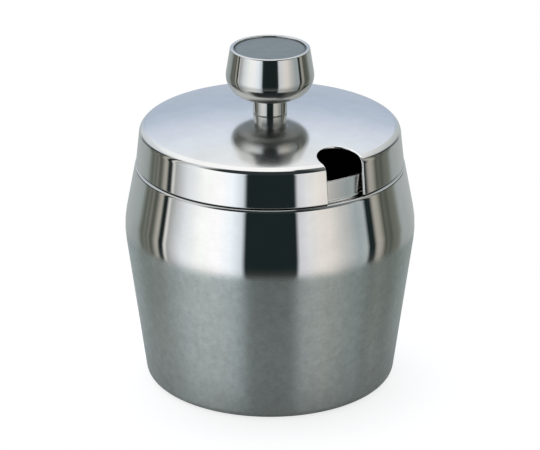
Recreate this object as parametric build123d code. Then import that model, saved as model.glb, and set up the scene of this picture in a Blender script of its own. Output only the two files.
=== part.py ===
from build123d import *
import os
from math import cos, radians, sqrt, tan

# A steel sugar pot with a lift-off lid. Sizes are in millimetres.
# The pot stands on z = 0 with its axis on Z, and the lid's spoon notch opens towards -Y.

EDGE_FLAT = 0.12            # width left flat on a sheet's edge between its two roundings

# Body: one drawn sheet, a barrel with a stepped-in neck
BODY_WALL = 0.8
BASE_RADIUS = 34.5          # where the lower side would meet the ground
BASE_CORNER = 2.6
BELLY_RADIUS = 40.33        # where the two sides would meet; their rounding leaves 40.0
BELLY_HEIGHT = 44.8
BELLY_ROUND = 26.0
SHOULDER_RADIUS = 36.9
SHOULDER_HEIGHT = 62.4
SHOULDER_ROUND = 0.9
NECK_RISE = 5.8             # the neck stands this far above the shoulder
NECK_FOOT_ROUND = 0.5       # on the outer face, where the neck stands on the shoulder
REST_RING_WIDTH = 4.5       # the flat ring that the pot stands on
PANEL_SLOPE_WIDTH = 2.4
PANEL_RISE = 0.9            # the middle of the base is pressed up by this much
PANEL_ROUND = 2.0

# Lid: a drawn cap with a crowned top, a leaning skirt and a spoon notch
LID_WALL = 0.8
LID_FOOT_INSET = 0.15       # the skirt's foot lies this far inside the shoulder's corner
LID_SKIRT_HEIGHT = 10.4     # from the foot to where skirt and crown would meet
LID_SKIRT_LEAN = 6.4        # degrees from upright
LID_CORNER = 2.5
LID_CROWN = 3.65            # rise of the crown's arc above its edge
LID_SEAT_RADIUS = 5.6       # the middle of the crown is flat for the knob and its nut
NECK_CLEARANCE = 0.4        # between the neck's rim and the skirt
NOTCH_WIDTH = 11.5
NOTCH_END_INSET = 3.08      # from the crown's edge in to the centre of the notch's round end
NOTCH_OVERRUN = 2.0         # the cut runs on this far below the foot and above the crown

# Knob: a turned head on a short stem, with a disc that closes it
STEM_RADIUS = 4.7
STEM_LENGTH = 4.9
STEM_EDGE_ROUND = 0.35
HEAD_HEIGHT = 13.7
HEAD_FOOT_RADIUS = 13.05    # where the head's side would meet its underside
HEAD_TOP_RADIUS = 10.82
HEAD_FOOT_ROUND = 5.9
HEAD_TOP_ROUND = 0.5
HEAD_FLOOR = 2.0
HEAD_RECESS_ROUND = 0.4
BORE_FOOT_ROUND = 3.0
HEAD_RIM_WIDTH = 1.01       # steel left round the disc at the head's top
DISC_THICKNESS = 1.2
DISC_DEPTH = 0.5            # the disc lies this far below the head's rim
DISC_CLEARANCE = 0.06
DISC_SEAT_WIDTH = 0.8
DISC_EDGE_ROUND = 0.15

# Fixing: a pan-head screw from inside the head to a low cap nut under the lid
SCREW_RADIUS = 2.0
SCREW_CLEARANCE = 0.08
SCREW_HEAD_RADIUS = 4.0
SCREW_HEAD_HEIGHT = 2.4
SCREW_HEAD_ROUND = 1.2
RECESS_WIDTH = 0.9
RECESS_LENGTH = 4.4
RECESS_DEPTH = 1.3
SCREW_END_CHAMFER = 0.4
WASHER_RADIUS = 4.5
WASHER_CLEARANCE = 0.15
WASHER_THICKNESS = 0.8
THREAD_CLEARANCE = 0.03
NUT_ACROSS_FLATS = 7.0
NUT_HEX_HEIGHT = 3.0
NUT_HEIGHT = 5.5
NUT_DOME_RADIUS = 3.2
NUT_END_WALL = 1.1          # steel left between the bore and the top of the dome
NUT_CORNER_CHAMFER = 0.35
SCREW_END_GAP = 0.5         # from the screw's end to the bottom of the nut's bore

# Sizes that follow from these
NECK_TOP = SHOULDER_HEIGHT + NECK_RISE
CROWN_EDGE = SHOULDER_HEIGHT + LID_SKIRT_HEIGHT
LID_FOOT_RADIUS = SHOULDER_RADIUS - LID_FOOT_INSET
CROWN_EDGE_RADIUS = LID_FOOT_RADIUS - LID_SKIRT_HEIGHT * tan(radians(LID_SKIRT_LEAN))
NOTCH_END_RADIUS = CROWN_EDGE_RADIUS - NOTCH_END_INSET
CROWN_SPHERE = (CROWN_EDGE_RADIUS**2 + LID_CROWN**2) / (2 * LID_CROWN)
CROWN_CENTRE = CROWN_EDGE + LID_CROWN - CROWN_SPHERE
LID_SEAT = CROWN_CENTRE + sqrt(CROWN_SPHERE**2 - LID_SEAT_RADIUS**2)
HEAD_FOOT = LID_SEAT + STEM_LENGTH
HEAD_TOP = HEAD_FOOT + HEAD_HEIGHT
RIM_ROUND = BODY_WALL / 2 - EDGE_FLAT / 2
LID_EDGE_ROUND = LID_WALL / 2 - EDGE_FLAT / 2
NECK_RADIUS = (LID_FOOT_RADIUS - LID_WALL / cos(radians(LID_SKIRT_LEAN))
               - NECK_RISE * tan(radians(LID_SKIRT_LEAN)) - NECK_CLEARANCE)
DISC_RADIUS = HEAD_TOP_RADIUS - HEAD_RIM_WIDTH - DISC_CLEARANCE
SCREW_HOLE_RADIUS = SCREW_RADIUS + SCREW_CLEARANCE
WASHER_HOLE_RADIUS = SCREW_RADIUS + WASHER_CLEARANCE
NUT_SEAT = LID_SEAT - LID_WALL - WASHER_THICKNESS
NUT_BORE_DEPTH = NUT_HEIGHT - NUT_END_WALL

SAME_HEIGHT = 0.01          # edges this close to a height count as lying on it


def turned(section):
    """Turns a section drawn as radius and height about the pot's axis."""
    return revolve(Plane.XZ * section, Axis.Z)


def tube(outer, inner, low, high):
    """A plain ring between two heights, or a full round where the inner radius is 0."""
    ring = Circle(outer) - Circle(inner) if inner else Circle(outer)
    return extrude(Pos(0, 0, low) * ring, high - low)


def circles_at(solid, height):
    """The solid's round edges that lie at one height."""
    round_edges = solid.edges().filter_by(GeomType.CIRCLE)
    return round_edges.filter_by_position(Axis.Z, height - SAME_HEIGHT, height + SAME_HEIGHT)


def body_outline():
    """The outer line of the body's sheet, from the middle of the base to the neck's rim."""
    ring_outer = BASE_RADIUS - BASE_CORNER
    ring_inner = ring_outer - REST_RING_WIDTH
    points = [
        (0, PANEL_RISE),
        (ring_inner - PANEL_SLOPE_WIDTH, PANEL_RISE),
        (ring_inner, 0),
        (BASE_RADIUS, 0),
        (BELLY_RADIUS, BELLY_HEIGHT),
        (SHOULDER_RADIUS, SHOULDER_HEIGHT),
        (NECK_RADIUS, SHOULDER_HEIGHT),
        (NECK_RADIUS, NECK_TOP),
    ]
    rounds = [PANEL_ROUND, PANEL_ROUND, BASE_CORNER, BELLY_ROUND, SHOULDER_ROUND, NECK_FOOT_ROUND]
    return FilletPolyline(*points, radius=rounds)


def pot_body():
    """The drawn body: its outer line, thickened inwards and turned, with a rounded rim."""
    outline = body_outline()
    section = make_face(offset(outline, amount=BODY_WALL, side=Side.LEFT, closed=True))
    body = turned(section)
    return fillet(circles_at(body, NECK_TOP), RIM_ROUND)


def lid_form(inset):
    """The solid inside the lid's outer face, or inside a face that lies deeper by the inset."""
    lean = radians(LID_SKIRT_LEAN)
    foot_radius = LID_FOOT_RADIUS - inset / cos(lean)
    top = LID_SEAT - inset
    top_radius = foot_radius - (top - SHOULDER_HEIGHT) * tan(lean)
    corners = [(0, SHOULDER_HEIGHT), (foot_radius, SHOULDER_HEIGHT), (top_radius, top), (0, top)]
    taper = Polygon(*corners, align=None)
    section = taper & Pos(0, CROWN_CENTRE) * Circle(CROWN_SPHERE - inset)
    corner = section.vertices().sort_by(Axis.X)[-2]
    return turned(fillet(corner, LID_CORNER - inset))


def notch_cutter():
    """A slot with a round inner end, from below the foot to above the crown."""
    reach = 2 * LID_FOOT_RADIUS - NOTCH_END_RADIUS
    slot = Circle(NOTCH_WIDTH / 2) + Pos(0, -reach / 2) * Rectangle(NOTCH_WIDTH, reach)
    height = LID_SKIRT_HEIGHT + LID_CROWN + 2 * NOTCH_OVERRUN
    return extrude(Pos(0, -NOTCH_END_RADIUS, SHOULDER_HEIGHT - NOTCH_OVERRUN) * slot, height)


def lid_shell():
    """The drawn lid: crown and skirt of one wall, with the notch and the screw's hole."""
    lid = lid_form(0) - lid_form(LID_WALL)
    lid = fillet(circles_at(lid, SHOULDER_HEIGHT), LID_EDGE_ROUND)
    lid -= tube(SCREW_HOLE_RADIUS, 0, CROWN_EDGE, LID_SEAT + LID_WALL)
    cutter = notch_cutter()
    cut = lid - cutter
    return fillet(new_edges(lid, cutter, combined=cut), LID_EDGE_ROUND)


def knob_stem():
    """The turned spacer between the lid and the knob's head."""
    stem = tube(STEM_RADIUS, SCREW_HOLE_RADIUS, LID_SEAT, HEAD_FOOT)
    ends = stem.edges().filter_by(GeomType.CIRCLE).group_by(SortBy.RADIUS)[-1]
    return fillet(ends, STEM_EDGE_ROUND)


def knob_head():
    """The turned head: round underside, side leaning in to the rim, bored for the screw and the disc."""
    recess_radius = DISC_RADIUS + DISC_CLEARANCE
    bore_radius = DISC_RADIUS - DISC_SEAT_WIDTH
    disc_seat = HEAD_TOP - DISC_DEPTH - DISC_THICKNESS
    floor = HEAD_FOOT + HEAD_FLOOR
    points = [
        (SCREW_HOLE_RADIUS, HEAD_FOOT),
        (HEAD_FOOT_RADIUS, HEAD_FOOT),
        (HEAD_TOP_RADIUS, HEAD_TOP),
        (recess_radius, HEAD_TOP),
        (recess_radius, disc_seat),
        (bore_radius, disc_seat),
        (bore_radius, floor),
        (SCREW_HOLE_RADIUS, floor),
    ]
    rounds = [0, HEAD_FOOT_ROUND, HEAD_TOP_ROUND, HEAD_RECESS_ROUND, 0, 0, BORE_FOOT_ROUND, 0]
    return turned(make_face(FilletPolyline(*points, radius=rounds, close=True)))


def knob_disc():
    """The disc that closes the head, seated on the step inside its rim."""
    top = HEAD_TOP - DISC_DEPTH
    disc = tube(DISC_RADIUS, 0, top - DISC_THICKNESS, top)
    return fillet(circles_at(disc, top), DISC_EDGE_ROUND)


def washer(low):
    """One plain washer, lying on the given height."""
    return tube(WASHER_RADIUS, WASHER_HOLE_RADIUS, low, low + WASHER_THICKNESS)


def fixing_screw():
    """A pan-head screw with a cross recess, its shank ending inside the nut's bore."""
    head_foot = HEAD_FOOT + HEAD_FLOOR + WASHER_THICKNESS
    head_top = head_foot + SCREW_HEAD_HEIGHT
    shank_end = NUT_SEAT - NUT_BORE_DEPTH + SCREW_END_GAP
    head = tube(SCREW_HEAD_RADIUS, 0, head_foot, head_top)
    head = fillet(circles_at(head, head_top), SCREW_HEAD_ROUND)
    for turn in (0, 90):
        slot = Box(RECESS_LENGTH, RECESS_WIDTH, 2 * RECESS_DEPTH)
        head -= Pos(0, 0, head_top) * Rot(0, 0, turn) * slot
    shank = tube(SCREW_RADIUS, 0, shank_end, head_foot)
    shank = chamfer(circles_at(shank, shank_end), SCREW_END_CHAMFER)
    return head + shank


def cap_nut():
    """A low cap nut under the lid: hexagon with chamfered corners, dome and blind bore."""
    hex_foot = NUT_SEAT - NUT_HEX_HEIGHT
    corner_radius = NUT_ACROSS_FLATS / sqrt(3)
    hexagon = extrude(Pos(0, 0, hex_foot) * RegularPolygon(corner_radius, 6), NUT_HEX_HEIGHT)
    limit = tube(corner_radius, 0, hex_foot, NUT_SEAT)
    limit = chamfer(circles_at(limit, hex_foot) + circles_at(limit, NUT_SEAT), NUT_CORNER_CHAMFER)
    dome_height = NUT_HEIGHT - NUT_HEX_HEIGHT
    dome_sphere = (NUT_DOME_RADIUS**2 + dome_height**2) / (2 * dome_height)
    ball = Pos(0, 0, hex_foot - dome_height + dome_sphere) * Sphere(dome_sphere)
    dome = ball & tube(NUT_DOME_RADIUS, 0, hex_foot - dome_height, hex_foot)
    bore = tube(SCREW_RADIUS + THREAD_CLEARANCE, 0, NUT_SEAT - NUT_BORE_DEPTH, NUT_SEAT)
    return (hexagon & limit) + dome - bore


PARTS = {
    "pot_body": pot_body(),
    "lid_shell": lid_shell(),
    "knob_stem": knob_stem(),
    "knob_head": knob_head(),
    "knob_disc": knob_disc(),
    "fixing_screw": fixing_screw(),
    "head_washer": washer(HEAD_FOOT + HEAD_FLOOR),
    "lid_washer": washer(NUT_SEAT),
    "cap_nut": cap_nut(),
}

os.makedirs("parts", exist_ok=True)
for name, part in PARTS.items():
    export_step(part, os.path.join("parts", name + ".step"))
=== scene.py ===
from math import asin, atan2, ceil, cos, pi, radians, sin, sqrt, tan

import bmesh
import bpy
import numpy as np
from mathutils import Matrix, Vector


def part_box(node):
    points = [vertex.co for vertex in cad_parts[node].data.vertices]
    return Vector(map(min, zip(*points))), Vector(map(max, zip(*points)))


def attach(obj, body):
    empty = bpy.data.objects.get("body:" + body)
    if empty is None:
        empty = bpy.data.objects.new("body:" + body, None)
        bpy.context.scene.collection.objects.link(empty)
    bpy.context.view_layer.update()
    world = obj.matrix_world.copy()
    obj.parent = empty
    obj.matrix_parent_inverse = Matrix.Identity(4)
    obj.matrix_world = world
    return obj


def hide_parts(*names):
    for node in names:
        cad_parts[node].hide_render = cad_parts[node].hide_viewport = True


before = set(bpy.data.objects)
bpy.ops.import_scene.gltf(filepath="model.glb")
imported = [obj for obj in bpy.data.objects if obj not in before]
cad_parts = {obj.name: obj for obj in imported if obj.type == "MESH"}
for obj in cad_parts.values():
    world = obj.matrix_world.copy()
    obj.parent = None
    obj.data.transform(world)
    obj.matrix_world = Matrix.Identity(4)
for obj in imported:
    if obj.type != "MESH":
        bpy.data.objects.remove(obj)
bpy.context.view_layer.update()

# A steel sugar pot with a lift-off lid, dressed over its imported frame. Lengths are in metres.
# The pot stands on z = 0 with its axis on Z, and the lid's spoon notch opens towards -Y.

# For all pieces: the width left flat on a sheet's edge between its two roundings, the angle from
# point to point on an arc, the distance within which points are merged, the slack where lengths
# are compared, and the units of a piece's UV map to a metre
EDGE_FLAT = 0.00012
ARC_STEP = radians(7)
MERGE_DISTANCE = 1e-7
SLACK = 1e-9
UV_SCALE = 10

# The body's sheet
BODY_WALL = 0.0008
BASE_RADIUS = 0.0345
BASE_CORNER = 0.0026
BELLY_RADIUS = 0.04033
BELLY_HEIGHT = 0.0448
BELLY_ROUND = 0.026
SHOULDER_RADIUS = 0.0369
SHOULDER_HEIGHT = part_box("lid_shell")[0].z
SHOULDER_ROUND = 0.0015
NECK_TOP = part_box("pot_body")[1].z
NECK_RISE = NECK_TOP - SHOULDER_HEIGHT
NECK_FOOT_ROUND = 0.0005
REST_RING_WIDTH = 0.0045
PANEL_SLOPE_WIDTH = 0.0024
PANEL_RISE = 0.0009
PANEL_ROUND = 0.002
BODY_SEGMENTS = 320
RIM_ROWS_OUTSIDE = 4

# The lid's sheet
LID_WALL = 0.0008
LID_FOOT_RADIUS = 0.03675
LID_SKIRT_HEIGHT = 0.0104
LID_SKIRT_LEAN = radians(6.4)
LID_CORNER = 0.0025
LID_CROWN = 0.00365
LID_EDGE_ROUND = (LID_WALL - EDGE_FLAT) / 2
NOTCH_WIDTH = 0.0115
NOTCH_END_RADIUS = 0.0325
LID_SEGMENTS = 288
CROWN_RINGS = 40
NOTCH_RINGS = 41
RIM_RINGS = 4
CORNER_RINGS = 25
SKIRT_RINGS = 12
EDGE_ARC_POINTS = 6
EDGE_FAN_POINTS = 7
EDGE_UV_SCALE = 4
HOLE_UV_STEP = 0.01

# The neck stands clear of the skirt's inner face where that is closest, at the rim
NECK_CLEARANCE = 0.0004
NECK_RADIUS = (LID_FOOT_RADIUS - LID_WALL / cos(LID_SKIRT_LEAN) - NECK_RISE * tan(LID_SKIRT_LEAN)
               - NECK_CLEARANCE)

# The knob
STEM_RADIUS = 0.0047
STEM_EDGE_ROUND = 0.00035
HEAD_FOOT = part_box("knob_head")[0].z
HEAD_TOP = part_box("knob_head")[1].z
HEAD_FOOT_RADIUS = 0.01305
HEAD_TOP_RADIUS = 0.01082
HEAD_FOOT_ROUND = 0.0059
HEAD_TOP_ROUND = 0.0005
HEAD_RECESS_ROUND = 0.0004
HEAD_FLOOR = 0.002
RECESS_RADIUS = 0.00981
BORE_RADIUS = 0.00895
BORE_FOOT_ROUND = 0.003
DISC_RADIUS = 0.00975
DISC_EDGE_ROUND = 0.00015
HOLE_RADIUS = 0.00208
SMALL_ROUND = 0.00005
STEM_SEGMENTS = 128
HEAD_SEGMENTS = 224
HEAD_ARC_STEP = radians(4)
DISC_SEGMENTS = 192

# The fixing
SCREW_RADIUS = 0.002
SCREW_HEAD_RADIUS = 0.004
SCREW_HEAD_HEIGHT = 0.0024
SCREW_HEAD_ROUND = 0.0012
SCREW_END_ROUND = 0.0004
SCREW_ARC_STEP = radians(6)
SCREW_FACE_ROWS = 40
SHANK_ROWS = 150
SHANK_TOP_GAP = 0.0002
SHANK_END_GAP = 0.0006
RECESS_WIDTH = 0.0009
RECESS_LENGTH = 0.0044
RECESS_DEPTH = 0.0013
RECESS_SIDE_SLOPE = 0.0001
RECESS_END_SLOPE = 0.0003
THREAD_PITCH = 0.0007
THREAD_DEPTH = 0.00035
THREAD_FLANK = 1.3
THREAD_CREST = 0.15
THREAD_TOP_GAP = 0.0009
THREAD_END_GAP = 0.00035
THREAD_LEAST_RADIUS = 0.0015
LEVEL_SLACK = 0.00001
WASHER_HOLE_RADIUS = 0.00215
WASHER_ROUND = 0.00012
NUT_ACROSS_FLATS = 0.007
NUT_HEX_HEIGHT = 0.003
NUT_DOME_RADIUS = 0.0032
NUT_DOME_LEDGE = 0.00015
NUT_DOME_STEP = 0.00002
NUT_DOME_ROWS = 20
NUT_RUN_ROWS = (3, 8, 6, 6, 6, 8, 3)
NUT_CHAMFER = 0.00035
NUT_CHAMFER_RISE = NUT_CHAMFER * 0.6
NUT_BORE_RADIUS = SCREW_RADIUS + 0.00003
NUT_BORE_DEPTH = 0.0044
NUT_FLAT_POWER = 90
FIXING_SEGMENTS = 96
NUT_SEGMENTS = 144
SHARP_EDGE = radians(35)

# The view
CAMERA_TURN = -34.0
CAMERA_RISE = 22.46
CAMERA_REACH = 0.7743
AIM_HEIGHT = 0.04295
CAMERA_LENS = 186.25
CAMERA_SENSOR = 36.0
CAMERA_CLIP = (0.01, 10.0)


# Lines, turned grids and meshes

def rounded_line(corners, rounds, step=ARC_STEP):
    """Points along a line of straight runs joined by arcs, and the line's heading at each.
    An arc touches both runs of its corner: it starts one tangent length, r tan(turn / 2), before
    the corner, and its spokes and headings are the first ones turned in even steps."""
    corners = np.array(corners, float)
    runs = np.diff(corners, axis=0)
    headings = runs / np.linalg.norm(runs, axis=1)[:, None]
    points = [corners[:1]]
    ways = [headings[:1]]
    for corner, before, after, radius in zip(corners[1:-1], headings[:-1], headings[1:], rounds):
        turn = atan2(before[0] * after[1] - before[1] * after[0], before @ after)
        inward = np.sign(turn) * np.array([-before[1], before[0]])
        centre = corner - before * radius * tan(abs(turn) / 2) + inward * radius
        angle = np.linspace(0, turn, max(3, ceil(abs(turn) / step) + 1))[:, None]
        across = np.array([-before[1], before[0]])
        ways.append(np.cos(angle) * before + np.sin(angle) * across)
        spoke = -inward * radius
        points.append(centre + np.cos(angle) * spoke + np.sin(angle) * np.array([-spoke[1], spoke[0]]))
    points.append(corners[-1:])
    ways.append(headings[-1:])
    return np.concatenate(points), np.concatenate(ways)


def set_in(corners, wall):
    """The corners of a line that runs a wall's thickness to the left of a line of straight runs.
    Each is its old corner moved along both runs' left sides so that it is one wall from each."""
    corners = np.array(corners, float)
    runs = np.diff(corners, axis=0)
    left = np.stack([-runs[:, 1], runs[:, 0]], -1) / np.linalg.norm(runs, axis=1)[:, None]
    before = np.vstack([left[:1], left])
    after = np.vstack([left, left[-1:]])
    share = wall / (1 + (before * after).sum(1))
    return corners + (before + after) * share[:, None]


def turned(points, ways, segments, side=1, material=0):
    """A line of radius and height turned about Z: x = r sin a, y = -r cos a.
    Outward is the line's right-hand side, or its left-hand side where side is -1."""
    angle = np.linspace(0, 2 * pi, segments + 1)
    radius, height = points[:, :1], points[:, 1:]
    grid = np.stack([radius * np.sin(angle), -radius * np.cos(angle), height + 0 * angle], -1)
    out, up = side * ways[:, 1:], -side * ways[:, :1]
    facing = np.stack([out * np.sin(angle), -out * np.cos(angle), up + 0 * angle], -1)
    length = np.append(0, np.cumsum(np.linalg.norm(np.diff(points, axis=0), axis=1)))
    sheet = np.stack(np.broadcast_arrays(angle[None, :] / (2 * pi), length[:, None] * UV_SCALE), -1)
    return {"points": grid, "facing": facing, "sheet": sheet, "material": material}


def merge_points(mesh):
    """Points that lie together made one, which closes seams and poles."""
    built = bmesh.new()
    built.from_mesh(mesh)
    bmesh.ops.remove_doubles(built, verts=built.verts, dist=MERGE_DISTANCE)
    built.to_mesh(mesh)
    built.free()


def grid_faces(rows, columns, start=0):
    """Four-sided faces between the neighbours of a grid whose first point has the number start."""
    ids = np.arange(rows * columns).reshape(rows, columns) + start
    return np.stack([ids[:-1, :-1], ids[1:, :-1], ids[1:, 1:], ids[:-1, 1:]], -1).reshape(-1, 4)


def make_piece(name, patches, materials, body, nodes):
    """One closed mesh out of grids of points. Neighbouring points are joined by four-sided faces,
    which are turned over where they face against the grid's own normals, and points that two
    grids share are merged. The grids' normals become the mesh's shading normals."""
    points, facing, sheet, quads, index = [], [], [], [], []
    start = 0
    for patch in patches:
        grid = patch["points"]
        rows, columns = grid.shape[:2]
        faces = grid_faces(rows, columns, start)
        across = np.cross(grid[1:, :-1] - grid[:-1, :-1], grid[:-1, 1:] - grid[:-1, :-1])
        if (across * patch["facing"][:-1, :-1]).sum() < 0:
            faces = faces[:, ::-1]
        points.append(grid.reshape(-1, 3))
        facing.append(patch["facing"].reshape(-1, 3))
        sheet.append(patch["sheet"].reshape(-1, 2))
        quads.append(faces)
        given = np.broadcast_to(np.asarray(patch["material"]).reshape(-1, 1), (rows - 1, columns - 1))
        index.append(given.reshape(-1))
        start += rows * columns
    points, facing, sheet, quads, index = map(np.concatenate, (points, facing, sheet, quads, index))
    mesh = bpy.data.meshes.new(name)
    mesh.vertices.add(len(points))
    mesh.vertices.foreach_set("co", points.astype(np.float32).ravel())
    mesh.loops.add(quads.size)
    mesh.loops.foreach_set("vertex_index", quads.astype(np.int32).ravel())
    mesh.polygons.add(len(quads))
    mesh.polygons.foreach_set("loop_start", np.arange(0, quads.size, 4, dtype=np.int32))
    mesh.polygons.foreach_set("material_index", index.astype(np.int32))
    mesh.update(calc_edges=True)
    corners = sheet[quads.ravel()].astype(np.float32).ravel()
    mesh.uv_layers.new(name="UVMap").data.foreach_set("uv", corners)
    kept = mesh.attributes.new("facing", "FLOAT_VECTOR", "POINT")
    kept.data.foreach_set("vector", facing.astype(np.float32).ravel())
    merge_points(mesh)
    normals = np.zeros(len(mesh.vertices) * 3, np.float32)
    mesh.attributes["facing"].data.foreach_get("vector", normals)
    mesh.attributes.remove(mesh.attributes["facing"])
    mesh.shade_smooth()
    mesh.normals_split_custom_set_from_vertices(normals.reshape(-1, 3))
    for material in materials:
        mesh.materials.append(material)
    piece = bpy.data.objects.new(name, mesh)
    bpy.context.scene.collection.objects.link(piece)
    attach(piece, body)
    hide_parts(*nodes)
    return piece


# Node helpers

NOISE_RANGE = (0.3, 0.7)


class Nodes:
    """Short calls for the nodes of one tree."""

    def __init__(self, tree):
        """Starts with an empty tree."""
        self.tree = tree
        tree.nodes.clear()

    def put(self, socket, value):
        """A link where the value is another node's socket, and the socket's own value where not."""
        if isinstance(value, bpy.types.NodeSocket):
            self.tree.links.new(value, socket)
        elif value is not None:
            socket.default_value = value

    def add(self, kind, inputs=(), **settings):
        """A new node with its settings, and with its inputs by name or number."""
        node = self.tree.nodes.new("ShaderNode" + kind)
        for name, value in settings.items():
            setattr(node, name, value)
        for name, value in dict(inputs).items():
            self.put(node.inputs[name], value)
        return node

    def math(self, operation, first, second=0.0, clamp=False):
        """One operation on two values, held between 0 and 1 where clamp is set."""
        node = self.add("Math", {0: first, 1: second}, operation=operation, use_clamp=clamp)
        return node.outputs[0]

    def times(self, first, second):
        """The product of two values."""
        return self.math("MULTIPLY", first, second)

    def plus(self, first, second):
        """The sum of two values."""
        return self.math("ADD", first, second)

    def smooth(self, value, low, high, start=0.0, end=1.0):
        """A soft step from start to end while the value goes from low to high."""
        return self.line(value, low, high, start, end, "SMOOTHSTEP")

    def line(self, value, low, high, start, end, way="LINEAR"):
        """A straight way from start to end while the value goes from low to high."""
        inputs = {"Value": value, "From Min": low, "From Max": high, "To Min": start, "To Max": end}
        return self.add("MapRange", inputs, interpolation_type=way).outputs[0]

    def swing(self, noise, low, high):
        """A noise's usual values carried to low and high."""
        return self.line(noise, *NOISE_RANGE, low, high)

    def mix(self, share, first, second, blend="MIX"):
        """The first colour where the share is 0, going over to the second where it is 1."""
        node = self.add("Mix", {"Factor": share}, data_type="RGBA", blend_type=blend)
        self.put(node.inputs[6], first)
        self.put(node.inputs[7], second)
        return node.outputs[2]

    def shade(self, colour, share, grey):
        """The colour multiplied by a grey, by a share."""
        return self.mix(share, colour, self.join(grey, grey, grey), "MULTIPLY")

    def join(self, x, y, z):
        """Three values as one vector."""
        return self.add("CombineXYZ", {"X": x, "Y": y, "Z": z}).outputs[0]

    def split(self, vector):
        """A vector's three values."""
        return self.add("SeparateXYZ", {"Vector": vector}).outputs

    def noise(self, vector, scale, detail=2.0, roughness=0.5):
        """A soft noise with so many lumps to a metre, and finer ones on top as detail says."""
        inputs = {"Vector": vector, "Scale": scale, "Detail": detail, "Roughness": roughness}
        return self.add("TexNoise", inputs).outputs["Fac"]

    def bump(self, height, below=None):
        """A surface raised by a height in metres, on top of the bump below it."""
        inputs = {"Height": height, "Strength": 1.0, "Distance": 1.0, "Normal": below}
        return self.add("Bump", inputs).outputs[0]

    def ramp(self, factor, stops):
        """The colours of the stops, in straight lines from one to the next."""
        node = self.add("ValToRGB", {"Fac": factor})
        points = node.color_ramp.elements
        while len(points) < len(stops):
            points.new(0.5)
        for point, (position, _) in zip(points, stops):
            point.position = position
        for point, (_, colour) in zip(points, stops):
            point.color = rgba(colour)
        return node.outputs[0]

    def rays(self):
        """1 for the camera's own rays, and 1 for those that metal and glass send on."""
        path = self.add("LightPath").outputs
        sent_on = self.math("MAXIMUM", path["Is Glossy Ray"], path["Is Transmission Ray"])
        return path["Is Camera Ray"], sent_on

    def show(self, kind, surface):
        """The tree's result, for a material or for the world."""
        self.add("Output" + kind, {"Surface": surface})


def rgba(colour):
    """A colour with the full opacity that a socket asks for."""
    return (*colour, 1.0)


def from_screen(red, green, blue):
    """A colour given as it shows on a screen, 0 to 255, as the light it stands for."""
    value = np.array([red, green, blue]) / 255
    return tuple(np.where(value <= 0.04045, value / 12.92, ((value + 0.055) / 1.055) ** 2.4))


# Materials

BRIGHT_STEEL = (0.70, 0.69, 0.665)
CROWN_STEEL = (0.68, 0.675, 0.655)
KNOB_STEEL = (0.60, 0.595, 0.57)
# Satin steel for the lower body. Its colour is partly painted shade: it is set darker and greener than the
# polished steel of the same sheet, for the dim table that the lower body mirrors
SATIN_STEEL_AND_SHADE = (0.545, 0.592, 0.565)
INSIDE_STEEL = (0.45, 0.45, 0.43)
# The cut edge's steel, set brighter than the sheet's own steel: the extra brightness is a painted
# highlight along the notch
EDGE_STEEL_AND_HIGHLIGHT = (0.84, 0.84, 0.82)
# The head's underside: satin, and set darker than the knob's steel as painted shade under the head
UNDERSIDE_STEEL_AND_SHADE = (0.46, 0.47, 0.455)
# A painted shade for the seam under the lid's foot: the ledge on the body's shoulder and the foot of the
# lid's cut edge are darkened with it
PAINTED_SEAM_SHADE = (0.16, 0.17, 0.17)
TURNED_STEEL = (0.62, 0.63, 0.62)
DULL_STEEL = (0.5, 0.5, 0.5)
DISC_GREY = from_screen(131, 141, 145)
DISC_PALER_GREY = from_screen(137, 147, 151)
# A painted shade round the disc's edge, where it meets the head's recess
DISC_EDGE_SHADE_GREY = from_screen(96, 104, 108)

# The steel's patterns: each one's scale, and the least and most light that it leaves. Turning
# lines have one scale along the line and one across
FINE_LINES = (60.0, 9000.0)
BROAD_LINES = (18.0, 1600.0)
BROAD_LINES_LIGHT = (0.90, 1.04)
CLOUD_SCALE = 140.0
CLOUD_LIGHT = (0.94, 1.03)
CLOUD_SHARE = 0.8
SPECK_SCALE = 480.0
SPECK_LIGHT = (0.80, 1.14)
WAVE_SCALE = 45.0
WAVE_HEIGHT = 0.000012

# The share of the specks and of the lines' height that the polish keeps, how far the roughness
# changes on the satin and on the polish, and the part of a full turn that lays the stretched
# shine across the turning lines
SPECKLE_ON_POLISH = 0.2
GRAIN_ON_POLISH = 0.04
ROUGHNESS_CHANGE = (0.10, 0.02)
QUARTER_TURN = 0.25

# Where one finish goes over to the next, by height, or by distance from the axis on the lid's
# crown and round the stem, and where painted shade starts and ends. The body's border drifts up and down
BORDER_SCALE = 90.0
BORDER_DRIFT = 0.0012
BODY_BORDER = (BELLY_HEIGHT - 0.0024, BELLY_HEIGHT + 0.0006)
CROWN_BORDER = (-0.0001, 0.0003)
UNDERSIDE_BORDER = (HEAD_FOOT + 0.0012, HEAD_FOOT + 0.0050)
STEM_BORDER = (STEM_RADIUS + 0.0006, STEM_RADIUS + 0.0002)
# Where the cut edge's painted shade on the foot gives way to its bright part
EDGE_BORDER = (SHOULDER_HEIGHT + 0.0001, SHOULDER_HEIGHT + 0.0004)
BARE_BORDER = (0.004, 0.022)
# The band on the shoulder's rounding, just under the lid's foot, that takes the painted seam shade
LEDGE_SHADE_TOP = (SHOULDER_HEIGHT - 0.00008, SHOULDER_HEIGHT - 0.00016)
LEDGE_SHADE_FOOT = (SHOULDER_HEIGHT - 0.0005, SHOULDER_HEIGHT - 0.00042)

# The disc's plastic
DISC_GRAIN_SCALE = 5200.0
DISC_GRAIN_HEIGHT = 0.000012
DISC_MOTTLE_SCALE = 420.0
DISC_ROUGHNESS = (0.46, 0.60)
DISC_SHINE = 0.3
# The band at the disc's edge that takes the painted shade
DISC_SHADE_BORDER = (DISC_RADIUS - 0.0008, DISC_RADIUS - 0.0001)


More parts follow.
